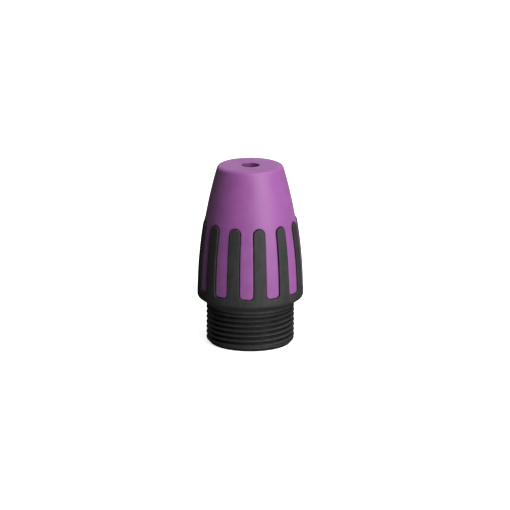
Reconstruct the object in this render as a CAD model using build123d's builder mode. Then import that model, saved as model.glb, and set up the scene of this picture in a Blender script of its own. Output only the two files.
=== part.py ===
from build123d import *
import math
import os

# Rear bushing of a round audio cable connector: a hard threaded bushing with twelve ribs,
# a soft boot moulded over it, and the clamping chuck that grips the cable inside.
# Millimetres. +Z runs up the axis, from the threaded mouth to the nose of the boot.

# ---- driving dimensions ---------------------------------------------------------------

overall_height = 35.0

# thread, M17 x 1, right-hand
thread_diameter = 17.0
thread_pitch = 1.0
thread_depth = 0.55
thread_crest = 0.30
thread_root = 0.20
thread_length = 6.2
thread_lead = 0.38
thread_foot_sink = 0.1
mouth_chamfer = 0.75
mouth_rim_cut = 0.1

# neck, shoulder and collar
neck_relief = 0.04
neck_length = 1.3
shoulder_angle = 48.0
shoulder_width = 1.75
collar_corner = 0.9

# barrel-shaped outside: one large arc, whose widest point is level with the collar
barrel_radius = 90.0
barrel_widest = 9.5

# ribs of the bushing, and the fingers of the boot between them
rib_count = 12
rib_width_low = 2.50
rib_width_high = 2.20
nose_length = 10.4
finger_bottom = 10.8
finger_depth = 1.2
finger_corner = 0.8
boot_inset = 0.28
mould_gap = 0.05

# inside of the bushing
shank_wall = 0.9
cone_start = 11.8
cone_slope = 0.48
throat_length = 1.2
throat_clearance = 0.15
sleeve_lap = 1.9
sleeve_wall = 1.2

# nose of the boot
boot_wall = 1.6
nose_thickness = 2.7
nose_rounding = 0.75
nose_lap = 0.5
cable_hole_diameter = 3.5

# clamping chuck, drawn open, with its ring just inside the mouth
jaw_count = 6
chuck_travel = 5.0
chuck_clearance = 0.35
chuck_recess = 0.4
chuck_ring_height = 2.2
chuck_wall = 1.3
ring_edge_break = 0.3
hinge_gap = 0.4
jaw_block_depth = 1.25
jaw_block_height = 5.0
jaw_block_ramp = 1.0
jaw_tip_chamfer = 0.7
jaw_side_gap = 0.25
tooth_count = 4
tooth_depth = 0.5
tooth_margin = 0.5
tooth_slope_share = 0.7

# how far a cutting shape reaches past what it cuts
overcut = 1.0

# ---- derived dimensions ---------------------------------------------------------------

thread_radius = thread_diameter / 2
root_radius = thread_radius - thread_depth
neck_radius = thread_radius - neck_relief
neck_top = thread_length + neck_length
collar_radius = thread_radius + shoulder_width
shoulder_rise = (collar_radius - neck_radius) / math.tan(math.radians(shoulder_angle))
shoulder_top = neck_top + shoulder_rise
rib_top = overall_height - nose_length
cable_hole_radius = cable_hole_diameter / 2
roof = overall_height - nose_thickness

bore_radius = root_radius - shank_wall
chuck_radius = bore_radius - chuck_clearance
chuck_bore_radius = chuck_radius - chuck_wall
jaw_root = chuck_recess + chuck_ring_height + hinge_gap
jaw_tip = cone_start + jaw_tip_chamfer
jaw_grip_radius = chuck_bore_radius - jaw_block_depth
jaw_closing = chuck_travel * cone_slope

throat_radius = jaw_grip_radius + throat_clearance
cone_end = cone_start + (bore_radius - throat_radius) / cone_slope
throat_end = cone_end + throat_length
sleeve_top = rib_top + sleeve_lap


def barrel(z, inset=0.0):
    """Radius of the barrel-shaped outside at a height, less an inset."""
    drop = barrel_radius - math.sqrt(barrel_radius**2 - (z - barrel_widest) ** 2)
    return collar_radius - drop - inset


def barrel_arc(low, high, inset=0.0):
    """Three points, radius and height, along the barrel or along a line inside it."""
    return [(barrel(z, inset), z) for z in (low, (low + high) / 2, high)]


def facing(angle):
    """Upright plane through the axis that faces outwards at an angle in degrees."""
    turn = math.radians(angle)
    return Plane(
        origin=(0, 0, 0),
        x_dir=(-math.sin(turn), math.cos(turn), 0),
        z_dir=(math.cos(turn), math.sin(turn), 0),
    )


core_inset = boot_inset + finger_depth
sleeve_inner_radius = barrel(sleeve_top, core_inset) - sleeve_wall


def finger_ring(outer_inset, inner_inset, gap, top):
    """Ring of fingers between the ribs, from their bottom ends up to a full collar.

    The gap widens the slots for the ribs and shortens the fingers, so the ring made with
    a gap lies clear inside the pockets made without one.
    """
    bottom = finger_bottom + gap
    outside = barrel_arc(bottom, top, outer_inset)
    inside = barrel_arc(bottom, top, inner_inset)
    half_low = rib_width_low / 2 + gap
    half_high = rib_width_high / 2 + gap
    rib_end = rib_top - rib_width_high / 2
    below = finger_bottom - overcut
    level = mould_gap
    with BuildPart() as ring:
        with BuildSketch(Plane.XZ):
            with BuildLine():
                ThreePointArc(*outside)
                Line(outside[-1], inside[-1])
                ThreePointArc(*inside)
                Line(inside[0], outside[0])
            make_face()
        revolve(axis=Axis.Z)
        for i in range(rib_count):
            with BuildSketch(facing(-90 + 360 * i / rib_count)):
                with BuildLine():
                    Polyline(
                        (-half_high, rib_end),
                        (-half_low, finger_bottom),
                        (-half_low, below),
                        (half_low, below),
                        (half_low, finger_bottom),
                        (half_high, rib_end),
                    )
                    ThreePointArc(
                        (half_high, rib_end), (0, rib_end + half_high), (-half_high, rib_end)
                    )
                make_face()
            extrude(amount=2 * collar_radius, mode=Mode.SUBTRACT)
        ends = ring.edges().filter_by(lambda edge: abs(edge.center().Z - bottom) < level)
        fillet(ends.filter_by(GeomType.LINE), finger_corner - gap)
    return ring.part


def thread_ridge():
    """Helical ridge of the thread, its foot sunk into the shank, cut square at both ends.

    Its crest stands at the thread's lead above the mouth on the +X side.
    """
    half_foot = (thread_pitch - thread_root) / 2
    flank_slope = (half_foot - thread_crest / 2) / thread_depth
    half_sunk_foot = half_foot + thread_foot_sink * flank_slope
    with BuildPart() as ridge:
        with BuildLine() as coil:
            Helix(
                pitch=thread_pitch,
                height=thread_length + 2 * thread_pitch,
                radius=root_radius - thread_foot_sink,
                center=(0, 0, thread_lead - thread_pitch),
            )
        with BuildSketch(Plane(origin=coil.line @ 0, x_dir=(1, 0, 0), z_dir=(0, -1, 0))):
            with BuildLine():
                Polyline(
                    (0, -half_sunk_foot),
                    (thread_foot_sink + thread_depth, -thread_crest / 2),
                    (thread_foot_sink + thread_depth, thread_crest / 2),
                    (0, half_sunk_foot),
                    close=True,
                )
            make_face()
        sweep(path=coil.line, is_frenet=True)
        split(bisect_by=Plane.XY, keep=Keep.TOP)
        split(bisect_by=Plane.XY.offset(thread_length), keep=Keep.BOTTOM)
    return ridge.part


# ---- threaded bushing -----------------------------------------------------------------

# the pockets reach past the barrel and past the sleeve's top, so they open outwards
pockets = finger_ring(
    outer_inset=-overcut, inner_inset=core_inset, gap=0.0, top=sleeve_top + overcut
)

with BuildPart() as threaded_bushing:
    # shank, neck, shoulder, collar and barrel outside; bore, clamping cone, throat and
    # flare inside
    barrel_side = barrel_arc(shoulder_top + collar_corner, sleeve_top)
    with BuildSketch(Plane.XZ) as bushing_section:
        with BuildLine():
            Polyline(
                (bore_radius, 0),
                (root_radius, 0),
                (root_radius, thread_length),
                (neck_radius, thread_length),
                (neck_radius, neck_top),
                (collar_radius, shoulder_top),
                barrel_side[0],
            )
            ThreePointArc(*barrel_side)
            Polyline(
                barrel_side[-1],
                (sleeve_inner_radius, sleeve_top),
                (throat_radius, throat_end),
                (throat_radius, cone_end),
                (bore_radius, cone_start),
                (bore_radius, 0),
            )
        make_face()
        corners = bushing_section.vertices().sort_by_distance((collar_radius, shoulder_top))
        fillet(corners[0], collar_corner)
    revolve(axis=Axis.Z)
    add(pockets, mode=Mode.SUBTRACT)
    add(thread_ridge())

    # lead-in cone at the mouth, from just under the root out to the crest
    lead_in_radius = root_radius - mouth_rim_cut
    with BuildSketch(Plane.XZ):
        with BuildLine():
            Polyline(
                (lead_in_radius, 0),
                (thread_radius, mouth_chamfer),
                (thread_radius + overcut, mouth_chamfer),
                (thread_radius + overcut, -overcut),
                (lead_in_radius, -overcut),
                close=True,
            )
        make_face()
    revolve(axis=Axis.Z, mode=Mode.SUBTRACT)

# ---- soft boot ------------------------------------------------------------------------

boot_fingers = finger_ring(
    outer_inset=boot_inset,
    inner_inset=core_inset - mould_gap,
    gap=mould_gap,
    top=sleeve_top,
)

with BuildPart() as soft_boot:
    # nose over the sleeve's end, with a flat roof over its cavity; it laps the fingers
    seat = sleeve_top + mould_gap
    lap = sleeve_top - nose_lap
    nose_edge = overall_height - nose_rounding
    nose_radius = barrel(nose_edge, boot_inset)
    nose_side = barrel_arc(lap, nose_edge, boot_inset)
    cavity_inset = boot_inset + boot_wall
    seat_inset = core_inset - mould_gap
    with BuildSketch(Plane.XZ):
        with BuildLine():
            ThreePointArc(*nose_side)
            RadiusArc(
                nose_side[-1], (nose_radius - nose_rounding, overall_height), -nose_rounding
            )
            Polyline(
                (nose_radius - nose_rounding, overall_height),
                (cable_hole_radius, overall_height),
                (cable_hole_radius, roof),
                (barrel(roof, cavity_inset), roof),
                (barrel(seat, cavity_inset), seat),
                (barrel(seat, seat_inset), seat),
                (barrel(lap, seat_inset), lap),
                nose_side[0],
            )
        make_face()
    revolve(axis=Axis.Z)
    add(boot_fingers)

# ---- clamping chuck -------------------------------------------------------------------

with BuildPart() as chuck_ring:
    with BuildSketch(Plane.XY.offset(chuck_recess)):
        Circle(chuck_radius)
        Circle(chuck_bore_radius, mode=Mode.SUBTRACT)
    extrude(amount=chuck_ring_height)
    rims = chuck_ring.edges().filter_by(GeomType.CIRCLE)
    chamfer(rims.filter_by(lambda edge: edge.radius > chuck_bore_radius + 0.01), ring_edge_break)


def chuck_jaw(angle):
    """One jaw: a finger of the chuck with a toothed block at its free end.

    Its flat sides meet the axis only when it is swung in, so that jaws stay clear of each
    other all the way.
    """
    block_bottom = jaw_tip - jaw_block_height
    valley_radius = jaw_grip_radius + tooth_depth
    tooth_pitch = (jaw_block_height - 2 * tooth_margin) / tooth_count
    teeth = []
    for i in range(tooth_count):
        shelf = jaw_tip - tooth_margin - i * tooth_pitch
        teeth.append((valley_radius, shelf))
        teeth.append((jaw_grip_radius, shelf - tooth_slope_share * tooth_pitch))
    with BuildPart() as jaw:
        with BuildSketch(Plane.XZ):
            with BuildLine():
                Polyline(
                    (chuck_bore_radius, jaw_root),
                    (chuck_radius, jaw_root),
                    (chuck_radius, jaw_tip - jaw_tip_chamfer),
                    (chuck_radius - jaw_tip_chamfer * cone_slope, jaw_tip),
                    (valley_radius, jaw_tip),
                    *teeth,
                    (valley_radius, block_bottom),
                    (chuck_bore_radius, block_bottom - jaw_block_ramp),
                    close=True,
                )
            make_face()
        revolve(axis=Axis.Z)
        outwards = facing(angle).z_dir
        apex = outwards * (jaw_closing + jaw_side_gap)
        reach = 2 * bore_radius
        half_span = reach * math.tan(math.pi / jaw_count)
        with BuildSketch(Plane(origin=apex, x_dir=outwards, z_dir=(0, 0, 1))):
            with BuildLine():
                Polyline((0, 0), (reach, -half_span), (reach, half_span), close=True)
            make_face()
        extrude(amount=sleeve_top, mode=Mode.INTERSECT)
    return jaw.part


# ---- labels and files -----------------------------------------------------------------

pieces = {
    "threaded_bushing": threaded_bushing.part,
    "soft_boot": soft_boot.part,
    "chuck_ring": chuck_ring.part,
}
for i in range(jaw_count):
    pieces[f"chuck_jaw_{i + 1}"] = chuck_jaw(-90 + 360 * i / jaw_count)

os.makedirs("parts", exist_ok=True)
for name, piece in pieces.items():
    piece.label = name
    export_step(piece, f"parts/{name}.step")
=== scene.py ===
import math
from collections import namedtuple
from functools import partial

import bmesh
import bpy
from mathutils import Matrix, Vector


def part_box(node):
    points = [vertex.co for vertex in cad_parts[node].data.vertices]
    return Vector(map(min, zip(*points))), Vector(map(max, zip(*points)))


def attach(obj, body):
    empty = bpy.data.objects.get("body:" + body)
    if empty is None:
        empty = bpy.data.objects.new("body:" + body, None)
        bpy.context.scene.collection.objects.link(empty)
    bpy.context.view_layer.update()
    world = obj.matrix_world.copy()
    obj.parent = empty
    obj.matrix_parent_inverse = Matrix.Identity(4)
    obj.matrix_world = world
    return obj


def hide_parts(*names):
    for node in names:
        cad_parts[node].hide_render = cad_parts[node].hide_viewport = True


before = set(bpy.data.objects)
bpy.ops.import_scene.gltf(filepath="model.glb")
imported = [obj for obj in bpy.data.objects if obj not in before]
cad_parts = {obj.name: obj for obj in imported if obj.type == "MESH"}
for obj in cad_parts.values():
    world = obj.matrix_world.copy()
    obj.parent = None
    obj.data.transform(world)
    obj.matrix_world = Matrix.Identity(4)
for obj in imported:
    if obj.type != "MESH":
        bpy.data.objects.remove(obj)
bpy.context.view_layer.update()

bl_info = {
    "name": "Cable connector bushing",
    "version": (1, 0, 0),
    "blender": (4, 5, 0),
    "location": "3D View > Sidebar > Bushing",
    "description": "Makes the rear bushing of a cable connector, its soft boot and its chuck",
    "category": "Object",
}

# Everything is in metres. The axis of the object is Z, from the mouth up to the nose.

_, BUSHING_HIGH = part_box("threaded_bushing")
BOOT_LOW, BOOT_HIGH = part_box("soft_boot")

FULL_TURN = 2 * math.pi
JAW_COUNT = 6
MOULDING_GAP = 0.00005

# The soft lamps all round: directions in degrees, sizes in metres and powers in watts.
Lamp = namedtuple("Lamp", "name azimuth elevation width tall watts in_gloss")
LAMPS = (
    Lamp("key", 30, 12, 0.64, 0.40, 4.6, True),
    Lamp("high", 15, 40, 0.40, 0.40, 3.8, True),
    Lamp("top", 20, 72, 0.50, 0.50, 2.2, True),
    Lamp("side", 80, 60, 0.40, 0.40, 3.8, True),
    Lamp("under", 10, -36, 0.45, 0.45, 2.6, True),
    Lamp("rim", -150, 25, 0.45, 0.45, 0.3, True),
    Lamp("back", 160, 20, 0.45, 0.45, 3.6, False),
)
WHITE = (1.0, 1.0, 1.0, 1.0)
FLOOR_COLOUR = (0.80, 0.80, 0.80, 1.0)
FLOOR_REACH = 3.0
FLOOR_CELLS = 8


# ---- sizes and colours ------------------------------------------------------------------


def length(name, description, default):
    """A size in metres that the sidebar shows in the scene's unit."""
    return bpy.props.FloatProperty(
        name=name,
        description=description,
        default=default,
        min=0.0,
        precision=5,
        subtype="DISTANCE",
        unit="LENGTH",
    )


def colour(name, description, default):
    """A colour, as linear red, green and blue."""
    return bpy.props.FloatVectorProperty(
        name=name,
        description=description,
        default=default,
        size=3,
        min=0.0,
        max=1.0,
        subtype="COLOR",
    )


def share(name, description, default):
    """A number from 0 to 1."""
    return bpy.props.FloatProperty(
        name=name, description=description, default=default, min=0.0, max=1.0, subtype="FACTOR"
    )


class BarrelSizes(bpy.types.PropertyGroup):
    """The barrel shape that the ribs and the boot share, and the ribs on it."""

    crown_radius: length(
        "Crown radius", "Radius of the barrel where it is widest", BUSHING_HIGH.x
    )
    side_radius: length("Side radius", "Radius of the barrel's curved side", 0.090)
    crown_height: length("Crown height", "Height of the barrel's widest place", 0.0095)
    rib_count: bpy.props.IntProperty(
        name="Ribs", description="Number of ribs round the barrel", default=12, min=3, max=24
    )
    rib_width_low: length("Rib width, low", "Width of a rib at its foot", 0.00244)
    rib_width_high: length("Rib width, high", "Width of a rib at its round end", 0.00214)
    rib_top: length("Rib top", "Height of the ribs' round ends", 0.02440)
    finger_bottom: length(
        "Finger bottom", "Height of the pockets' lower ends", BOOT_LOW.z - MOULDING_GAP
    )
    finger_corner: length("Finger corner", "Radius of the fingers' lower corners", 0.0008)
    pocket_depth: length("Pocket depth", "Depth of the pockets between the ribs", 0.00148)


class BushingSizes(bpy.types.PropertyGroup):
    """The threaded bushing below its ribs, and its inside."""

    rib_edge: length("Rib edge", "Rounding of the ribs' edges", 0.00010)
    collar_corner: length("Collar corner", "Rounding of the collar's lower corner", 0.0008)
    neck_radius: length("Neck radius", "Radius of the plain neck above the thread", 0.00846)
    neck_top: length("Neck top", "Height of the neck's upper end", 0.00804)
    relief_height: length("Relief height", "Height of the level groove in the neck", 0.00740)
    relief_width: length("Relief width", "Width of the level groove in the neck", 0.00036)
    relief_depth: length("Relief depth", "Depth of the level groove in the neck", 0.00032)
    shoulder_top: length("Shoulder top", "Height where the shoulder meets the barrel", 0.00928)
    crest_radius: length("Crest radius", "Radius of the thread's crests", 0.0085)
    root_radius: length("Root radius", "Radius of the thread's roots", 0.00795)
    pitch: length("Pitch", "Rise of the thread in one turn", 0.001)
    lead: length("Lead", "Height of a crest above the mouth on the +X side", 0.00038)
    crest_width: length("Crest width", "Width of the thread's crest", 0.00012)
    root_width: length("Root width", "Width of the thread's root", 0.00016)
    groove_start: length("Groove start", "Height where the groove begins to show", 0.00060)
    groove_full: length("Groove full", "Height from which the groove is full", 0.00115)
    groove_fade: length("Groove fade", "Height where the groove begins to run out", 0.0066)
    groove_end: length("Groove end", "Height where the groove has run out", 0.0071)
    mouth_radius: length("Mouth radius", "Outer radius of the mouth's rim", 0.00785)
    lead_in: length("Lead-in", "Height of the chamfer at the mouth", 0.00075)
    bore_radius: length("Bore radius", "Radius of the bore for the chuck", 0.00705)
    cone_start: length("Cone start", "Height where the clamping cone begins", 0.0118)
    cone_end: length("Cone end", "Height where the clamping cone ends", 0.01753)
    throat_radius: length("Throat radius", "Radius of the throat above the cone", 0.0043)
    throat_end: length("Throat end", "Height where the throat ends", 0.01873)
    sleeve_top: length("Sleeve top", "Height of the sleeve under the boot", BUSHING_HIGH.z)
    sleeve_wall: length("Sleeve wall", "Wall of the sleeve at its top", 0.0012)
    finish: colour("Finish", "Colour of the black plastic", (0.034, 0.0345, 0.0345))


class BootSizes(bpy.types.PropertyGroup):
    """The soft boot."""

    inset: length("Inset", "How far the boot lies below the ribs", 0.00028)
    swell: length("Swell", "How far the fingers stand out more at their lower ends", 0.00008)
    swell_length: length("Swell length", "Height over which the fingers come out", 0.010)
    finger_edge: length("Finger edge", "Rounding of the fingers' edges", 0.00022)
    gap: length("Gap", "Gap between a finger and a rib", MOULDING_GAP)
    nose_top: length("Nose top", "Height of the boot's end face", BOOT_HIGH.z)
    nose_rounding: length("Nose rounding", "Rounding of the nose's edge", 0.00075)
    hole_radius: length("Hole radius", "Radius of the cable hole", 0.00175)
    hole_edge: length("Hole edge", "Rounding of the cable hole's edge", 0.00012)
    roof: length("Roof", "Height of the roof over the boot's cavity", 0.0323)
    wall: length("Wall", "Wall of the boot's nose", 0.0016)
    finish: colour("Finish", "Colour of the violet boot", (0.300, 0.088, 0.312))


class ChuckSizes(bpy.types.PropertyGroup):
    """The clamping chuck."""

    finish: colour("Finish", "Colour of the chuck's plastic", (0.42, 0.41, 0.38))


class StageSizes(bpy.types.PropertyGroup):
    """Floor, lights and camera."""

    view_azimuth: bpy.props.FloatProperty(
        name="View azimuth",
        description="How far the camera stands round the object, from its front",
        default=math.radians(-10.8),
        subtype="ANGLE",
    )
    view_elevation: bpy.props.FloatProperty(
        name="View elevation",
        description="How far the camera looks down",
        default=math.radians(15.4),
        subtype="ANGLE",
    )
    view_distance: length("View distance", "From the camera to the object's middle", 0.85)
    view_height: length("View height", "Height that the camera aims at", 0.01707)
    focal_length: bpy.props.FloatProperty(
        name="Focal length",
        description="Focal length of the camera's lens",
        default=311.1,
        subtype="DISTANCE_CAMERA",
    )
    shift: bpy.props.FloatProperty(
        name="Shift", description="Sideways shift of the camera's lens", default=0.0092
    )
    brightness: bpy.props.FloatProperty(
        name="Brightness", description="Scales the power of every lamp", default=1.0, min=0.0
    )
    light_distance: length("Light distance", "From the lights to the object's middle", 0.9)
    room_light: share("Room light", "Strength of the light from all round", 0.01)
    floor_bounce: share("Floor bounce", "How much light the floor throws up", 0.05)
    floor_glow: share("Floor glow", "How far the floor is lifted towards white", 0.8)


# ---- node helpers -----------------------------------------------------------------------


def join(tree, socket, value):
    """Links a value to a socket if it is another node's output, and sets it if not."""
    if isinstance(value, bpy.types.NodeSocket):
        tree.links.new(value, socket)
    else:
        socket.default_value = value


def node(tree, kind, inputs=None, **settings):
    """Adds a node with its settings and inputs."""
    made = tree.nodes.new(kind)
    for name, value in settings.items():
        setattr(made, name, value)
    for name, value in (inputs or {}).items():
        join(tree, made.inputs[name], value)
    return made


def calc(tree, operation, *terms):
    """Adds a Math node and gives its result."""
    made = tree.nodes.new("ShaderNodeMath")
    made.operation = operation
    for socket, term in zip(made.inputs, terms):
        join(tree, socket, term)
    return made.outputs[0]


def arithmetic(tree):
    """Functions that add, take away, multiply and divide by Math nodes in a tree."""
    return [partial(calc, tree, kind) for kind in ("ADD", "SUBTRACT", "MULTIPLY", "DIVIDE")]


def ramp(tree, value, start, end, low=0.0, high=1.0, straight=False):
    """Rises from low to high, smoothly or straight, while the value goes from start to end."""
    inputs = {"Value": value, "From Min": start, "From Max": end, "To Min": low, "To Max": high}
    kind = "LINEAR" if straight else "SMOOTHSTEP"
    made = node(tree, "ShaderNodeMapRange", inputs, interpolation_type=kind)
    return made.outputs["Result"]


def blank_tree(owner):
    """Turns on the nodes of a material or world and gives its tree, emptied."""
    owner.use_nodes = True
    owner.node_tree.nodes.clear()
    return owner.node_tree


def own_place(tree):
    """The X, Y and Z of the point that a tree works on."""
    place = node(tree, "GeometryNodeInputPosition").outputs[0]
    return node(tree, "ShaderNodeSeparateXYZ", {"Vector": place}).outputs


def on_circle(tree, radius, angle, height):
    """A place round the Z axis, with its angle counted from the front."""
    backward = calc(tree, "MULTIPLY", calc(tree, "COSINE", angle), -1.0)
    made = node(
        tree,
        "ShaderNodeCombineXYZ",
        {
            "X": calc(tree, "MULTIPLY", radius, calc(tree, "SINE", angle)),
            "Y": calc(tree, "MULTIPLY", radius, backward),
            "Z": height,
        },
    )
    return made.outputs[0]


def moved(tree, geometry, place):
    """Geometry with its points put at new places."""
    inputs = {"Geometry": geometry, "Position": place}
    return node(tree, "GeometryNodeSetPosition", inputs).outputs[0]


def new_tree(name, sockets):
    """A Geometry Nodes tree with named inputs and one geometry output."""
    tree = bpy.data.node_groups.new(name, "GeometryNodeTree")
    for socket_name, socket_type, default in sockets:
        socket = tree.interface.new_socket(socket_name, in_out="INPUT", socket_type=socket_type)
        if default is not None:
            socket.default_value = default
    tree.interface.new_socket("Geometry", in_out="OUTPUT", socket_type="NodeSocketGeometry")
    return tree, tree.nodes.new("NodeGroupInput").outputs


def finish_tree(tree, geometry, weld, material):
    """Ends a tree: real geometry, welded and with its material."""
    real = node(tree, "GeometryNodeRealizeInstances", {"Geometry": geometry})
    joined = {"Geometry": real.outputs["Geometry"], "Distance": weld}
    welded = node(tree, "GeometryNodeMergeByDistance", joined)
    covered = {"Geometry": welded.outputs["Geometry"], "Material": material}
    painted = node(tree, "GeometryNodeSetMaterial", covered)
    tree.links.new(painted.outputs["Geometry"], tree.nodes.new("NodeGroupOutput").inputs[0])


def grown(tree, values, mesh=None):
    """Runs a tree on a mesh and gives the result as a plain mesh."""
    start = mesh or bpy.data.meshes.new("start")
    holder = bpy.data.objects.new("start", start)
    bpy.context.scene.collection.objects.link(holder)
    modifier = holder.modifiers.new("Growth", "NODES")
    modifier.node_group = tree
    for item in tree.interface.items_tree:
        if item.in_out == "INPUT" and item.name in values:
            modifier[item.identifier] = values[item.name]
    bpy.context.view_layer.update()
    graph = bpy.context.evaluated_depsgraph_get()
    result = bpy.data.meshes.new_from_object(holder.evaluated_get(graph))
    bpy.data.objects.remove(holder)
    bpy.data.meshes.remove(start)
    return result


# ---- node trees -------------------------------------------------------------------------


def barrel_tree():
    """Wraps a flat sector round the barrel and repeats it.

    The sector's X is its arc at the crown, its Y its depth below the barrel and its Z its
    height.
    """
    tree, given = new_tree(
        "Sector round the barrel",
        [
            ("Sector", "NodeSocketGeometry", None),
            ("Crown Radius", "NodeSocketFloat", 0.01),
            ("Side Radius", "NodeSocketFloat", 0.09),
            ("Crown Height", "NodeSocketFloat", 0.0095),
            ("Sectors", "NodeSocketInt", 12),
            ("Weld", "NodeSocketFloat", 0.000001),
            ("Material", "NodeSocketMaterial", None),
        ],
    )
    _, less, times, over = arithmetic(tree)
    flat = own_place(tree)
    rise = less(flat["Z"], given["Crown Height"])
    inside = less(calc(tree, "POWER", given["Side Radius"], 2.0), calc(tree, "POWER", rise, 2.0))
    drop = less(given["Side Radius"], calc(tree, "SQRT", inside))
    radius = less(less(given["Crown Radius"], drop), flat["Y"])
    angle = over(flat["X"], given["Crown Radius"])
    sector = moved(tree, given["Sector"], on_circle(tree, radius, angle, flat["Z"]))
    points = node(tree, "GeometryNodePoints", {"Count": given["Sectors"]})
    index = node(tree, "GeometryNodeInputIndex").outputs[0]
    turn = node(
        tree,
        "FunctionNodeAxisAngleToRotation",
        {"Axis": (0.0, 0.0, 1.0), "Angle": over(times(index, FULL_TURN), given["Sectors"])},
    )
    ring = node(
        tree,
        "GeometryNodeInstanceOnPoints",
        {"Points": points.outputs[0], "Instance": sector, "Rotation": turn.outputs[0]},
    )
    finish_tree(tree, ring.outputs[0], given["Weld"], given["Material"])
    return tree


# The thread tree's inputs that bear the names of the bushing's sizes.
THREAD_SIZES = {
    "Pitch": 0.001,
    "Lead": 0.0,
    "Crest Radius": 0.0085,
    "Root Radius": 0.0079,
    "Neck Radius": 0.0084,
    "Crest Width": 0.0003,
    "Root Width": 0.0002,
    "Groove Start": 0.0005,
    "Groove Full": 0.001,
    "Groove Fade": 0.006,
    "Groove End": 0.007,
    "Mouth Radius": 0.0078,
    "Lead-in": 0.0007,
}


def thread_tree():
    """A tube whose outside is cut by a screw thread, with a chamfer and a run-out."""
    tree, given = new_tree(
        "Thread",
        [
            ("Columns", "NodeSocketInt", 288),
            ("Rows", "NodeSocketInt", 120),
            ("Length", "NodeSocketFloat", 0.007),
            *((name, "NodeSocketFloat", usual) for name, usual in THREAD_SIZES.items()),
            ("Edge", "NodeSocketFloat", 0.0001),
            ("Weld", "NodeSocketFloat", 0.000001),
            ("Material", "NodeSocketMaterial", None),
        ],
    )
    add, less, times, over = arithmetic(tree)
    grid = node(
        tree,
        "GeometryNodeMeshGrid",
        {
            "Size X": 1.0,
            "Size Y": 1.0,
            "Vertices X": add(given["Columns"], 1.0),
            "Vertices Y": add(given["Rows"], 1.0),
        },
    )
    flat = own_place(tree)
    turns = add(flat["X"], 0.5)
    height = times(add(flat["Y"], 0.5), given["Length"])
    # Turns are counted from the front, a quarter before +X, where the lead is measured.
    climbed = less(turns, 0.25)
    above = over(less(height, given["Lead"]), given["Pitch"])
    phase = less(above, climbed)
    off_crest = times(calc(tree, "PINGPONG", phase, 0.5), given["Pitch"])
    flank_start = times(given["Crest Width"], 0.5)
    flank_end = times(less(given["Pitch"], given["Root Width"]), 0.5)
    groove = ramp(tree, off_crest, flank_start, flank_end, straight=True)
    begun = ramp(tree, height, given["Groove Start"], given["Groove Full"])
    ended = ramp(tree, height, given["Groove Fade"], given["Groove End"])
    share_cut = times(times(groove, begun), less(1.0, ended))
    depth = less(given["Crest Radius"], given["Root Radius"])
    step = less(given["Crest Radius"], given["Neck Radius"])
    outside = less(given["Crest Radius"], times(step, ended))
    cut = less(outside, times(depth, share_cut))
    cone_rise = over(height, given["Lead-in"])
    cone_width = less(given["Crest Radius"], given["Mouth Radius"])
    cone = add(given["Mouth Radius"], times(cone_rise, cone_width))
    radius = calc(tree, "SMOOTH_MIN", cut, cone, given["Edge"])
    angle = times(turns, FULL_TURN)
    tube = moved(tree, grid.outputs["Mesh"], on_circle(tree, radius, angle, height))
    finish_tree(tree, tube, given["Weld"], given["Material"])
    return tree


# ---- flat sectors -----------------------------------------------------------------------

BOTTOM_STEPS = 3
CORNER_STEPS = 6
SIDE_STEPS = 16
ROUND_STEPS = 24
RIB_STEPS = 6
FILL_STEPS = 5
EDGE_STEPS = 5
COLLAR_STEPS = 3
COLUMNS_PER_SECTOR = 2 * (BOTTOM_STEPS + CORNER_STEPS) + RIB_STEPS
WELD = 0.000002

# The wrapped sectors meet the turned surfaces this far above the shoulder's top and above
# the ribs' round ends.
COLLAR_JOINT = 0.0006
NOSE_JOINT = 0.0016


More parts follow.
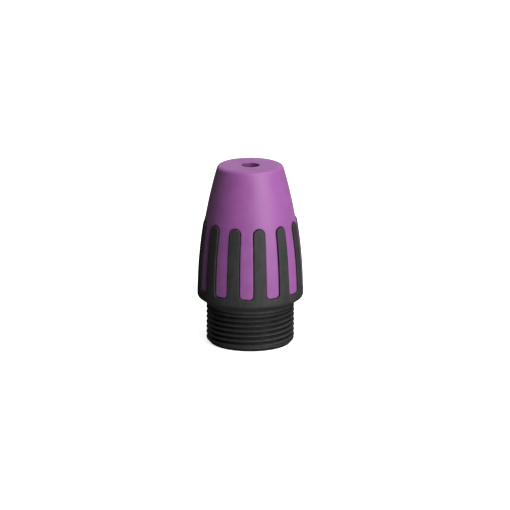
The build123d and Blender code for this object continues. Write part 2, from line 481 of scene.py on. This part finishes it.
class RibOutline:
    """The line round one rib, from the middle of one finger's end to that of the next.

    It runs along the finger's lower end, round its corner, up the rib's side and over the
    rib's round end. Offsets go from the rib towards the fingers.
    """

    def __init__(self, sizes):
        self.sizes = sizes
        self.half_sector = math.pi / sizes.rib_count
        self.half_low = sizes.rib_width_low / 2
        self.half_high = sizes.rib_width_high / 2
        self.round_start = sizes.rib_top - self.half_high
        self.corner_top = sizes.finger_bottom + sizes.finger_corner
        bottom, corner = sizes.finger_bottom, sizes.finger_corner
        # a point: kind, share of the way along it, place (x, z) and way outwards (x, z)
        self.half = []
        middle = self.half_width(self.corner_top) + corner
        for i in range(BOTTOM_STEPS):
            self.half.append(("bottom", 1 - i / BOTTOM_STEPS, middle, bottom, 0.0, 1.0))
        for i in range(CORNER_STEPS + 1):
            turn = math.radians(90 * i / CORNER_STEPS)
            x, z = middle - corner * math.sin(turn), self.corner_top - corner * math.cos(turn)
            self.half.append(("corner", 0.0, x, z, math.sin(turn), math.cos(turn)))
        for i in range(1, SIDE_STEPS):
            z = self.corner_top + (self.round_start - self.corner_top) * i / SIDE_STEPS
            self.half.append(("side", 0.0, self.half_width(z), z, 1.0, 0.0))
        for i in range(ROUND_STEPS + 1):
            turn = math.radians(90 * i / ROUND_STEPS)
            x, z = self.half_high * math.cos(turn), self.half_high * math.sin(turn)
            self.half.append(
                ("round", i / ROUND_STEPS, x, self.round_start + z, math.cos(turn), math.sin(turn))
            )

    def half_width(self, z):
        """Half the rib's width at a height."""
        foot = self.sizes.finger_bottom
        part = (z - foot) / (self.round_start - foot)
        return self.half_low + (self.half_high - self.half_low) * part

    def radius(self, z, depth):
        """Radius of the barrel at a height, less a depth."""
        sizes = self.sizes
        rise = z - sizes.crown_height
        drop = sizes.side_radius - math.sqrt(sizes.side_radius**2 - rise**2)
        return sizes.crown_radius - drop - depth

    def at(self, point, offset, depth):
        """Angle and height of a point of the half outline, at an offset and a depth."""
        kind, part, x, z, across, up = point
        height = z + offset * up
        angle = math.asin((x + offset * across) / self.radius(height, depth))
        if kind == "bottom":
            angle += part * (self.half_sector - angle)
        return angle, height

    def rim(self, index, point, offset, top):
        """Angle and height on the sector's border that a point of the outline faces."""
        kind, part, _, z, _, _ = point
        low = self.sizes.finger_bottom + offset
        corner_end = BOTTOM_STEPS + CORNER_STEPS
        if kind in ("bottom", "corner"):
            return self.half_sector, low + (self.corner_top - low) * index / corner_end
        if kind == "side":
            return self.half_sector, z
        if part <= 0.5:
            return self.half_sector, self.round_start + (top - self.round_start) * part * 2
        return self.half_sector * 2 * (1 - part), top


class FlatSector:
    """Collects one sector's faces, in arc at the crown, depth and height."""

    def __init__(self, outline, swell=None):
        self.outline = outline
        self.swell = swell or (lambda depth, height: depth)
        self.points = []
        self.faces = []

    def strip(self, rows):
        """Adds rows of (angle, depth, height) joined by faces."""
        start, width = len(self.points), len(rows[0])
        crown = self.outline.sizes.crown_radius
        for row in rows:
            for angle, depth, height in row:
                self.points.append((angle * crown, self.swell(depth, height), height))
        for i in range(len(rows) - 1):
            for k in range(width - 1):
                a = start + i * width + k
                self.faces.append((a, a + 1, a + width + 1, a + width))

    def whole(self, half_row):
        """A row across the sector from its right half, which ends on the middle line."""
        return half_row + [(-a, d, z) for a, d, z in reversed(half_row[:-1])]

    def along(self, offset, depth):
        """The whole outline at an offset and a depth."""
        outline = self.outline
        half = [outline.at(point, offset, depth) for point in outline.half]
        return self.whole([(a, depth, z) for a, z in half])

    def edge(self, layers):
        """Adds faces that follow the outline through layers of (offset, depth)."""
        self.strip([self.along(offset, depth) for offset, depth in layers])

    def fill_outside(self, offset, depth, top):
        """Adds the surface between the outline and the sector's border."""
        outline = self.outline
        rows = []
        for i in range(FILL_STEPS + 1):
            part = i / FILL_STEPS
            row = []
            for index, point in enumerate(outline.half):
                angle, height = outline.at(point, offset, depth)
                rim_angle, rim_height = outline.rim(index, point, offset, top)
                mixed = angle + (rim_angle - angle) * part
                row.append((mixed, depth, height + (rim_height - height) * part))
            rows.append(self.whole(row))
        self.strip(rows)

    def fill_rib(self, offset, depth):
        """Adds the rib's face inside the outline, above the fingers' corners."""
        outline = self.outline
        rows = []
        for point in outline.half[BOTTOM_STEPS + CORNER_STEPS :]:
            angle, height = outline.at(point, offset, depth)
            steps = range(RIB_STEPS + 1)
            rows.append([(angle * (1 - 2 * k / RIB_STEPS), depth, height) for k in steps])
        self.strip(rows)

    def fill_collar(self, offset, depth, bottom):
        """Adds the collar below the fingers, down to a level line."""
        outline = self.outline
        ends = outline.half[: BOTTOM_STEPS + CORNER_STEPS + 1]
        right = [outline.at(point, offset, depth) for point in ends]
        angle, height = right[-1]
        across = [(angle * (1 - 2 * k / RIB_STEPS), height) for k in range(1, RIB_STEPS)]
        upper = right + across + [(-a, z) for a, z in reversed(right)]
        rows = []
        for i in range(COLLAR_STEPS + 1):
            part = i / COLLAR_STEPS
            row = []
            for k, (a, z) in enumerate(upper):
                level = outline.half_sector * (1 - 2 * k / COLUMNS_PER_SECTOR)
                row.append((a + (level - a) * part, depth, z + (bottom - z) * part))
            rows.append(row)
        self.strip(rows)

    def mesh(self):
        """The faces collected so far, as a mesh."""
        made = bpy.data.meshes.new("flat_sector")
        made.from_pydata(self.points, [], self.faces)
        return made


def rounded_edge(offset, depth, radius, outwards):
    """Layers round an edge: from the face, where it is flat, to the wall."""
    layers = []
    for k in range(EDGE_STEPS + 1):
        turn = math.radians(90 * k / EDGE_STEPS)
        reach = radius * (1 - math.sin(turn))
        layers.append((offset + outwards * reach, depth + radius * (1 - math.cos(turn))))
    return layers


# ---- turned surfaces --------------------------------------------------------------------

NOSE_SIDE_STEPS = 10
FILLET_STEPS = 6
NOSE_FILLET_STEPS = 8
SHARP_ANGLE = math.radians(38)

# Roundings of corners on the turned surfaces.
RELIEF_FILLET = 0.00004
NECK_FILLET = 0.00035
MOUTH_FILLET = 0.00012
BORE_FILLET = 0.0003
SLEEVE_FILLET = 0.00015
ROOF_FILLET = 0.0005


def rounded_line(corners, steps=FILLET_STEPS):
    """A line through corners of (radius, height, rounding)."""
    line = []
    for i, (r, z, rounding) in enumerate(corners):
        if rounding == 0 or i in (0, len(corners) - 1):
            line.append((r, z))
            continue
        here = Vector((r, z))
        back = Vector(corners[i - 1][:2]) - here
        ahead = Vector(corners[i + 1][:2]) - here
        between = back.angle(ahead)
        tangent = rounding / math.tan(between / 2)
        inwards = (back.normalized() + ahead.normalized()).normalized()
        centre = here + inwards * (rounding / math.sin(between / 2))
        start = here + back.normalized() * tangent - centre
        end = here + ahead.normalized() * tangent - centre
        for k in range(steps + 1):
            spoke = start.slerp(end, k / steps).normalized() * rounding
            line.append(tuple(centre + spoke))
    return line


def turned(builder, line, columns):
    """Adds the surface that a line of (radius, height) makes when it is turned."""
    rings = []
    for r, z in line:
        ring = []
        for k in range(columns):
            angle = FULL_TURN * k / columns
            ring.append(builder.verts.new((r * math.sin(angle), -r * math.cos(angle), z)))
        rings.append(ring)
    for low, high in zip(rings, rings[1:]):
        for k in range(columns):
            after = (k + 1) % columns
            builder.faces.new((low[k], low[after], high[after], high[k]))


def closed_piece(name, meshes, lines, columns, material):
    """Joins grown meshes and turned lines into one closed, smooth piece."""
    builder = bmesh.new()
    for mesh in meshes:
        builder.from_mesh(mesh)
        bpy.data.meshes.remove(mesh)
    for line in lines:
        turned(builder, line, columns)
    bmesh.ops.remove_doubles(builder, verts=builder.verts, dist=WELD)
    bmesh.ops.dissolve_degenerate(builder, dist=WELD / 4, edges=builder.edges)
    bmesh.ops.recalc_face_normals(builder, faces=builder.faces)
    open_edges = [edge for edge in builder.edges if not edge.is_manifold]
    if open_edges:
        where = open_edges[0].verts[0].co
        raise RuntimeError(f"{name} has {len(open_edges)} open edges, one at {where[:]}")
    mesh = bpy.data.meshes.new(name)
    builder.to_mesh(mesh)
    builder.free()
    mesh.shade_smooth()
    mesh.set_sharp_from_angle(angle=SHARP_ANGLE)
    mesh.materials.clear()
    mesh.materials.append(material)
    piece = bpy.data.objects.new(name, mesh)
    bpy.context.scene.collection.objects.link(piece)
    return piece


# ---- finishes ---------------------------------------------------------------------------

# Painted shade: where light hardly reaches, a finish's colour is scaled by these.
ROOT_SHADE = 0.28
CREST_SHADE = 0.82
RIB_SIDE_SHADE = 0.35
HOLE_SHADE = 0.55
FINGER_SHADE = 0.95
FINGER_SIDE_SHADE = 0.45

# The painted shades come and go over these distances; the pairs say where they begin and end.
SHADE_BLEND = 0.0001
FOOT_BLEND = 0.0002
INSIDE_BLEND = (0.0003, 0.0002)
RIB_SIDE_BLEND = (0.00004, 0.00014)
FINGER_SIDE_BLEND = (0.00002, 0.00016)

Noise = namedtuple("Noise", "scale detail roughness")


class MouldedFinish:
    """Moulded plastic or rubber: fine grain, faint streaks up the sides, uneven gloss and, where
    it is asked for, painted shade.

    The ends are the lowest and highest noise that the tint and the gloss answer to.
    """

    GRAIN = Noise(9000.0, 3.0, 0.6)
    CLOUD = Noise(420.0, 4.0, 0.55)
    STREAK = Noise(3600.0, 2.0, 0.5)
    STREAK_STRETCH = 0.045
    CLOUD_SHARE = 0.45
    STREAK_SHARE = 0.55
    TINT_ENDS = (0.35, 0.65)
    GLOSS_ENDS = (0.3, 0.7)
    RELIEF = 0.00001
    UNEVEN_GLOSS = 0.05
    BLEND = 0.0006

    def __init__(self, name, base, mottle, streaks_end=None):
        self.material = bpy.data.materials.new(name)
        self.tree = blank_tree(self.material)
        self.add, self.less, self.times, self.over = arithmetic(self.tree)
        self.place = node(self.tree, "ShaderNodeTexCoord").outputs["Object"]
        parts = node(self.tree, "ShaderNodeSeparateXYZ", {"Vector": self.place})
        self.height = parts.outputs["Z"]
        self.radius = self.vector("LENGTH", self.vector("MULTIPLY", self.place, (1.0, 1.0, 0.0)))
        self.grain = self.noise(self.place, self.GRAIN)
        self.cloud = self.noise(self.place, self.CLOUD)
        stretch = (1.0, 1.0, self.STREAK_STRETCH)
        drawn = node(self.tree, "ShaderNodeMapping", {"Vector": self.place, "Scale": stretch})
        self.streak = self.noise(drawn.outputs[0], self.STREAK)
        if streaks_end is not None:
            self.streak = self.level_above(self.streak, streaks_end)
        self.paint = self.mottled(base, mottle)

    def vector(self, operation, *terms):
        """Adds a Vector Math node and gives its result."""
        made = node(self.tree, "ShaderNodeVectorMath", operation=operation)
        for socket, term in zip(made.inputs, terms):
            join(self.tree, socket, term)
        return made.outputs["Value" if operation == "LENGTH" else "Vector"]

    def noise(self, place, kind):
        """A noise pattern, from nought to one."""
        values = {name.capitalize(): value for name, value in kind._asdict().items()}
        values["Vector"] = place
        return node(self.tree, "ShaderNodeTexNoise", values).outputs["Fac"]

    def between(self, value, start, end, low=0.0, high=1.0):
        """Goes smoothly from low to high while the value goes from start to end."""
        return ramp(self.tree, value, start, end, low, high)

    def well_inside(self, radius):
        """One where a point lies well inside a radius, and nought elsewhere."""
        begin, end = INSIDE_BLEND
        return self.between(self.radius, radius - begin, radius - end, 1.0, 0.0)

    def level_above(self, pattern, height):
        """Fades a pattern out to its middle value above a height."""
        left = self.between(self.height, height - self.BLEND, height + self.BLEND, 1.0, 0.0)
        return self.add(self.times(self.less(pattern, 0.5), left), 0.5)

    def mottled(self, base, mottle):
        """The base colour, a little darker and lighter in clouds and streaks."""
        dark = tuple(part * (1 - mottle) for part in base) + (1.0,)
        light = tuple(min(1.0, part * (1 + mottle)) for part in base) + (1.0,)
        tint = self.add(
            self.times(self.cloud, self.CLOUD_SHARE), self.times(self.streak, self.STREAK_SHARE)
        )
        paint = node(self.tree, "ShaderNodeValToRGB", {"Fac": tint})
        ends = zip(paint.color_ramp.elements, self.TINT_ENDS, (dark, light))
        for end, position, shade in ends:
            end.position = position
            end.color = shade
        return paint.outputs["Color"]

    def greatest(self, *shares):
        """The greatest of some shares."""
        most = shares[0]
        for other in shares[1:]:
            most = calc(self.tree, "MAXIMUM", most, other)
        return most

    def darken(self, *shares):
        """Paints shade: scales the colour by the greatest of some shares, so that any of them can
        spare it.
        """
        made = node(
            self.tree,
            "ShaderNodeVectorMath",
            {0: self.paint, "Scale": self.greatest(*shares)},
            operation="SCALE",
        )
        self.paint = made.outputs["Vector"]

    def depth_in(self, barrel):
        """How far a point lies below the barrel's surface."""
        rise = self.less(self.height, barrel.crown_height)
        drop = self.over(self.times(rise, rise), 2 * barrel.side_radius)
        return self.less(self.less(barrel.crown_radius, drop), self.radius)

    def finish(self, roughness, grain, streaks, **surface_values):
        """Joins colour, gloss and relief to the surface and gives the material."""
        low, high = roughness - self.UNEVEN_GLOSS, roughness + self.UNEVEN_GLOSS
        relief = self.add(self.times(self.grain, grain), self.times(self.streak, streaks))
        shallow = {"Height": relief, "Strength": 1.0, "Distance": self.RELIEF}
        bump = node(self.tree, "ShaderNodeBump", shallow)
        values = {
            "Base Color": self.paint,
            "Roughness": self.between(self.cloud, *self.GLOSS_ENDS, low, high),
            "Normal": bump.outputs["Normal"],
        }
        for name, value in surface_values.items():
            values[name.replace("_", " ")] = value
        surface = node(self.tree, "ShaderNodeBsdfPrincipled", values)
        out = node(self.tree, "ShaderNodeOutputMaterial", {"Surface": surface.outputs[0]})
        out.is_active_output = True
        return self.material


# ---- operators --------------------------------------------------------------------------


def sizes_by_name(group, names):
    """Values for a tree's inputs, from the sizes that bear the same names."""
    fields = {name: name.lower().replace(" ", "_").replace("-", "_") for name in names}
    return {name: getattr(group, field) for name, field in fields.items()}


def barrel_values(barrel, material):
    """Values for the barrel tree's inputs."""
    values = sizes_by_name(barrel, ("Crown Radius", "Side Radius", "Crown Height"))
    values.update({"Sectors": barrel.rib_count, "Weld": WELD, "Material": material})
    return values


def black_finish(barrel, sizes):
    """Black plastic with painted shade in the thread's groove, on its crests and down the ribs'
    sides.
    """
    plastic = MouldedFinish(
        "black_moulded_plastic", sizes.finish, mottle=0.22, streaks_end=barrel.rib_top
    )
    height = plastic.height
    root, crest = sizes.root_radius, sizes.crest_radius
    relief_top = sizes.relief_height + sizes.relief_width / 2
    # Painted shade in the thread: darkest at the roots, a little on the crests, none well inside
    # the root or above the level groove.
    plastic.darken(
        plastic.between(plastic.radius, root, crest, ROOT_SHADE, CREST_SHADE),
        plastic.well_inside(root),
        plastic.between(height, relief_top, relief_top + SHADE_BLEND),
    )
    # Painted shade down the ribs' sides, none on the pockets' floors or below the fingers' lower
    # corners.
    depth = plastic.depth_in(barrel)
    foot = barrel.finger_bottom - barrel.finger_corner
    plastic.darken(
        plastic.between(depth, *RIB_SIDE_BLEND, 1.0, RIB_SIDE_SHADE),
        plastic.between(depth, barrel.pocket_depth, barrel.pocket_depth + SHADE_BLEND),
        plastic.between(height, foot, foot + FOOT_BLEND, 1.0, 0.0),
    )
    return plastic.finish(roughness=0.58, grain=0.5, streaks=0.9, Specular_IOR_Level=0.28)


def violet_finish(barrel, sizes):
    """Violet rubber with painted shade in the cable hole, over the fingers and down the fingers'
    sides.
    """
    rubber = MouldedFinish(
        "violet_soft_rubber", sizes.finish, mottle=0.10, streaks_end=barrel.rib_top
    )
    height, hole = rubber.height, sizes.hole_radius
    top, blend = barrel.rib_top, rubber.BLEND
    # Painted shade in the cable hole.
    rubber.darken(
        rubber.between(rubber.radius, hole, hole + SHADE_BLEND, HOLE_SHADE, 1.0),
        rubber.well_inside(hole),
    )
    # Painted shade over the fingers, below the ribs' round ends.
    rubber.darken(rubber.between(height, top - blend, top + blend, FINGER_SHADE))
    # Painted shade down the fingers' sides, only below the ribs' round ends.
    depth = rubber.depth_in(barrel)
    begin, end = FINGER_SIDE_BLEND
    rubber.darken(
        rubber.between(depth, sizes.inset + begin, sizes.inset + end, 1.0, FINGER_SIDE_SHADE),
        rubber.between(height, top - blend, top),
    )
    return rubber.finish(
        roughness=0.47,
        grain=0.45,
        streaks=1.1,
        Sheen_Weight=0.11,
        Sheen_Roughness=0.5,
        Specular_IOR_Level=0.50,
    )


class CABLEBUSHING_OT_threaded_bushing(bpy.types.Operator):
    """Make the black bushing: ribs, collar, neck, thread and bore"""

    bl_idname = "cable_bushing.threaded_bushing"
    bl_label = "Threaded bushing"

    def execute(self, context):
        barrel, sizes = context.scene.bushing_barrel, context.scene.bushing_sizes
        material = black_finish(barrel, sizes)
        outline = RibOutline(barrel)
        columns = COLUMNS_PER_SECTOR * barrel.rib_count
        collar_bottom = sizes.shoulder_top + COLLAR_JOINT
        floor_depth = barrel.pocket_depth

        sector = FlatSector(outline)
        layers = rounded_edge(0.0, 0.0, sizes.rib_edge, -1)
        sector.fill_rib(layers[0][0], 0.0)
        sector.fill_collar(layers[0][0], 0.0, collar_bottom)
        sector.edge(layers + [(0.0, floor_depth)])
        sector.fill_outside(0.0, floor_depth, sizes.sleeve_top)
        ribs = grown(barrel_tree(), barrel_values(barrel, material), sector.mesh())

        values = sizes_by_name(sizes, THREAD_SIZES)
        values.update(
            {"Columns": columns, "Length": sizes.groove_end, "Weld": WELD, "Material": material}
        )
        thread = grown(thread_tree(), values)

        neck, relief = sizes.neck_radius, sizes.relief_height
        shoulder = rounded_line(
            [
                (neck, sizes.groove_end, 0),
                (neck, relief - sizes.relief_width / 2, RELIEF_FILLET),
                (neck - sizes.relief_depth, relief, RELIEF_FILLET),
                (neck, relief + sizes.relief_width / 2, RELIEF_FILLET),
                (neck, sizes.neck_top, NECK_FILLET),
                (barrel.crown_radius, sizes.shoulder_top, sizes.collar_corner),
                (outline.radius(collar_bottom, 0.0), collar_bottom, 0),
            ],
        )
        sleeve_outside = outline.radius(sizes.sleeve_top, floor_depth)
        inside = rounded_line(
            [
                (sizes.mouth_radius, 0.0, 0),
                (sizes.bore_radius, 0.0, MOUTH_FILLET),
                (sizes.bore_radius, sizes.cone_start, BORE_FILLET),
                (sizes.throat_radius, sizes.cone_end, BORE_FILLET),
                (sizes.throat_radius, sizes.throat_end, BORE_FILLET),
                (sleeve_outside - sizes.sleeve_wall, sizes.sleeve_top, SLEEVE_FILLET),
                (sleeve_outside, sizes.sleeve_top, 0),
            ],
        )
        piece = closed_piece(
            "bushing_with_ribs", [ribs, thread], [shoulder, inside], columns, material
        )
        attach(piece, "bushing")
        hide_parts("threaded_bushing")
        return {"FINISHED"}


class CABLEBUSHING_OT_soft_boot(bpy.types.Operator):
    """Make the violet boot: nose, cable hole and the fingers between the ribs"""

    bl_idname = "cable_bushing.soft_boot"
    bl_label = "Soft boot"

    def execute(self, context):
        barrel, sizes = context.scene.bushing_barrel, context.scene.boot_sizes
        bushing = context.scene.bushing_sizes
        material = violet_finish(barrel, sizes)
        outline = RibOutline(barrel)
        columns = COLUMNS_PER_SECTOR * barrel.rib_count
        inner_depth = barrel.pocket_depth - sizes.gap
        seat = bushing.sleeve_top + sizes.gap
        nose_start = barrel.rib_top + NOSE_JOINT

        def swell(depth, height):
            """Brings a finger's face out towards its lower end, and leaves its underside."""
            down = min(1.0, max(0.0, (nose_start - height) / sizes.swell_length))
            outer = (inner_depth - depth) / (inner_depth - sizes.inset)
            return depth - sizes.swell * down * max(0.0, outer)

        sector = FlatSector(outline, swell)
        layers = rounded_edge(sizes.gap, sizes.inset, sizes.finger_edge, 1)
        sector.fill_outside(layers[0][0], sizes.inset, nose_start)
        sector.edge(layers + [(sizes.gap, inner_depth)])
        sector.fill_outside(sizes.gap, inner_depth, seat)
        fingers = grown(barrel_tree(), barrel_values(barrel, material), sector.mesh())

        side_end = sizes.nose_top - sizes.nose_rounding
        side = []
        for k in range(NOSE_SIDE_STEPS):
            height = nose_start + (side_end - nose_start) * k / NOSE_SIDE_STEPS
            side.append((outline.radius(height, sizes.inset), height, 0))
        nose = rounded_line(
            side
            + [
                (outline.radius(sizes.nose_top, sizes.inset), sizes.nose_top, sizes.nose_rounding),
                (sizes.hole_radius, sizes.nose_top, sizes.hole_edge),
                (sizes.hole_radius, sizes.roof, sizes.hole_edge),
                (outline.radius(sizes.roof, sizes.inset + sizes.wall), sizes.roof, ROOF_FILLET),
                (outline.radius(seat, sizes.inset + sizes.wall), seat, 0),
                (outline.radius(seat, inner_depth), seat, 0),
            ],
            steps=NOSE_FILLET_STEPS,
        )
        piece = closed_piece("violet_boot", [fingers], [nose], columns, material)
        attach(piece, "bushing")
        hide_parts("soft_boot")
        return {"FINISHED"}


class CABLEBUSHING_OT_chuck(bpy.types.Operator):
    """Give the chuck's ring and jaws their finish"""

    bl_idname = "cable_bushing.chuck"
    bl_label = "Clamping chuck"

    def execute(self, context):
        sizes = context.scene.chuck_sizes
        plastic = MouldedFinish("chuck_plastic", sizes.finish, mottle=0.06)
        material = plastic.finish(roughness=0.42, grain=0.35, streaks=0.5)
        names = ["chuck_ring"] + [f"chuck_jaw_{i + 1}" for i in range(JAW_COUNT)]
        for name in names:
            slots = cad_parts[name].data.materials
            slots.clear()
            slots.append(material)
        return {"FINISHED"}


def direction(azimuth, elevation):
    """Unit vector from the object towards an azimuth and elevation."""
    flat = math.cos(elevation)
    return Vector((math.sin(azimuth) * flat, -math.cos(azimuth) * flat, math.sin(elevation)))


def aimed(thing, place, target):
    """Puts a light or camera at a place, turned to a target."""
    thing.location = place
    thing.rotation_euler = (target - place).to_track_quat("-Z", "Y").to_euler()
    bpy.context.scene.collection.objects.link(thing)


def soft_light(lamp, place, target, brightness):
    """A large flat lamp that faces the object, seen in gloss or not."""
    light = bpy.data.lights.new(lamp.name, "AREA")
    light.shape = "RECTANGLE"
    light.size = lamp.width
    light.size_y = lamp.tall
    light.energy = lamp.watts * brightness
    holder = bpy.data.objects.new(lamp.name, light)
    holder.visible_camera = False
    holder.visible_glossy = lamp.in_gloss
    aimed(holder, place, target)


def chosen(tree, switch, otherwise, when_on):
    """The first shader where the switch is off, and the second where it is on."""
    mix = node(tree, "ShaderNodeMixShader", {0: switch})
    tree.links.new(otherwise, mix.inputs[1])
    tree.links.new(when_on, mix.inputs[2])
    return mix.outputs[0]


def seen_and_felt(tree, seen, felt):
    """Gives the camera one shader of a surface and every other ray another."""
    ray = node(tree, "ShaderNodeLightPath").outputs["Is Camera Ray"]
    return chosen(tree, ray, felt, seen)


def pale_floor_finish(glow, bounce):
    """Matt white from above, clear from below, and clear to the light from under it."""
    material = bpy.data.materials.new("pale_floor")
    tree = blank_tree(material)
    seen = node(
        tree,
        "ShaderNodeBsdfPrincipled",
        {
            "Base Color": FLOOR_COLOUR,
            "Roughness": 0.9,
            "Specular IOR Level": 0.0,
            "Emission Color": WHITE,
            "Emission Strength": glow,
        },
    )
    felt = node(tree, "ShaderNodeBsdfDiffuse", {"Color": (bounce, bounce, bounce, 1.0)})
    clear = node(tree, "ShaderNodeBsdfTransparent").outputs[0]
    underside = node(tree, "ShaderNodeNewGeometry").outputs["Backfacing"]
    shadow_ray = node(tree, "ShaderNodeLightPath").outputs["Is Shadow Ray"]
    surface = seen_and_felt(
        tree,
        chosen(tree, underside, seen.outputs[0], clear),
        chosen(tree, shadow_ray, felt.outputs[0], clear),
    )
    node(tree, "ShaderNodeOutputMaterial", {"Surface": surface})
    return material


def plain_floor(material):
    """A level floor under the object."""
    builder = bmesh.new()
    bmesh.ops.create_grid(
        builder, x_segments=FLOOR_CELLS, y_segments=FLOOR_CELLS, size=FLOOR_REACH
    )
    mesh = bpy.data.meshes.new("floor")
    builder.to_mesh(mesh)
    builder.free()
    mesh.materials.append(material)
    floor = bpy.data.objects.new("floor", mesh)
    bpy.context.scene.collection.objects.link(floor)
    return floor


def pale_room(strength):
    """Plain pale surroundings that light the object only a little."""
    world = bpy.data.worlds.new("pale_room")
    tree = blank_tree(world)
    seen = node(tree, "ShaderNodeBackground", {"Color": WHITE, "Strength": 1.0})
    felt = node(tree, "ShaderNodeBackground", {"Color": WHITE, "Strength": strength})
    surface = seen_and_felt(tree, seen.outputs[0], felt.outputs[0])
    node(tree, "ShaderNodeOutputWorld", {"Surface": surface})
    return world


class CABLEBUSHING_OT_stage(bpy.types.Operator):
    """Set up the pale floor, the soft lights and the camera"""

    bl_idname = "cable_bushing.stage"
    bl_label = "Stage"

    def execute(self, context):
        scene = context.scene
        sizes = scene.stage_sizes
        middle = Vector((0.0, 0.0, sizes.view_height))

        floor = plain_floor(pale_floor_finish(sizes.floor_glow, sizes.floor_bounce))
        far = sizes.light_distance
        for lamp in LAMPS:
            way = direction(math.radians(lamp.azimuth), math.radians(lamp.elevation))
            soft_light(lamp, middle + far * way, middle, sizes.brightness)
        scene.world = pale_room(sizes.room_light)

        lens = bpy.data.cameras.new("camera")
        lens.sensor_width = 36.0
        lens.lens = sizes.focal_length
        lens.shift_x = sizes.shift
        lens.clip_start = 0.01
        camera = bpy.data.objects.new("camera", lens)
        towards = direction(sizes.view_azimuth, sizes.view_elevation)
        aimed(camera, middle + towards * sizes.view_distance, middle)
        scene.camera = camera
        scene.view_settings.view_transform = "Standard"
        return {"FINISHED"}


class CABLEBUSHING_PT_sidebar(bpy.types.Panel):
    """Sizes and colours of the bushing, and a button for each piece"""

    bl_idname = "CABLEBUSHING_PT_sidebar"
    bl_label = "Cable connector bushing"
    bl_space_type = "VIEW_3D"
    bl_region_type = "UI"
    bl_category = "Bushing"

    def draw(self, context):
        layout = self.layout
        for property_name, group in PROPERTY_GROUPS.items():
            box = layout.box()
            values = getattr(context.scene, property_name)
            for field in group.__annotations__:
                box.prop(values, field)
        for operator in OPERATORS:
            layout.operator(operator.bl_idname)


PROPERTY_GROUPS = {
    "bushing_barrel": BarrelSizes,
    "bushing_sizes": BushingSizes,
    "boot_sizes": BootSizes,
    "chuck_sizes": ChuckSizes,
    "stage_sizes": StageSizes,
}
OPERATORS = (
    CABLEBUSHING_OT_threaded_bushing,
    CABLEBUSHING_OT_soft_boot,
    CABLEBUSHING_OT_chuck,
    CABLEBUSHING_OT_stage,
)


def register():
    """Registers the sizes, the operators and the sidebar."""
    for property_name, group in PROPERTY_GROUPS.items():
        bpy.utils.register_class(group)
        setattr(bpy.types.Scene, property_name, bpy.props.PointerProperty(type=group))
    for operator in OPERATORS:
        bpy.utils.register_class(operator)
    bpy.utils.register_class(CABLEBUSHING_PT_sidebar)


def unregister():
    """Takes back all that register added."""
    bpy.utils.unregister_class(CABLEBUSHING_PT_sidebar)
    for operator in reversed(OPERATORS):
        bpy.utils.unregister_class(operator)
    for property_name, group in reversed(PROPERTY_GROUPS.items()):
        delattr(bpy.types.Scene, property_name)
        bpy.utils.unregister_class(group)


def main():
    """Makes the object and its stage."""
    register()
    bpy.ops.cable_bushing.threaded_bushing()
    bpy.ops.cable_bushing.soft_boot()
    bpy.ops.cable_bushing.chuck()
    bpy.ops.cable_bushing.stage()


if __name__ == "__main__":
    main()
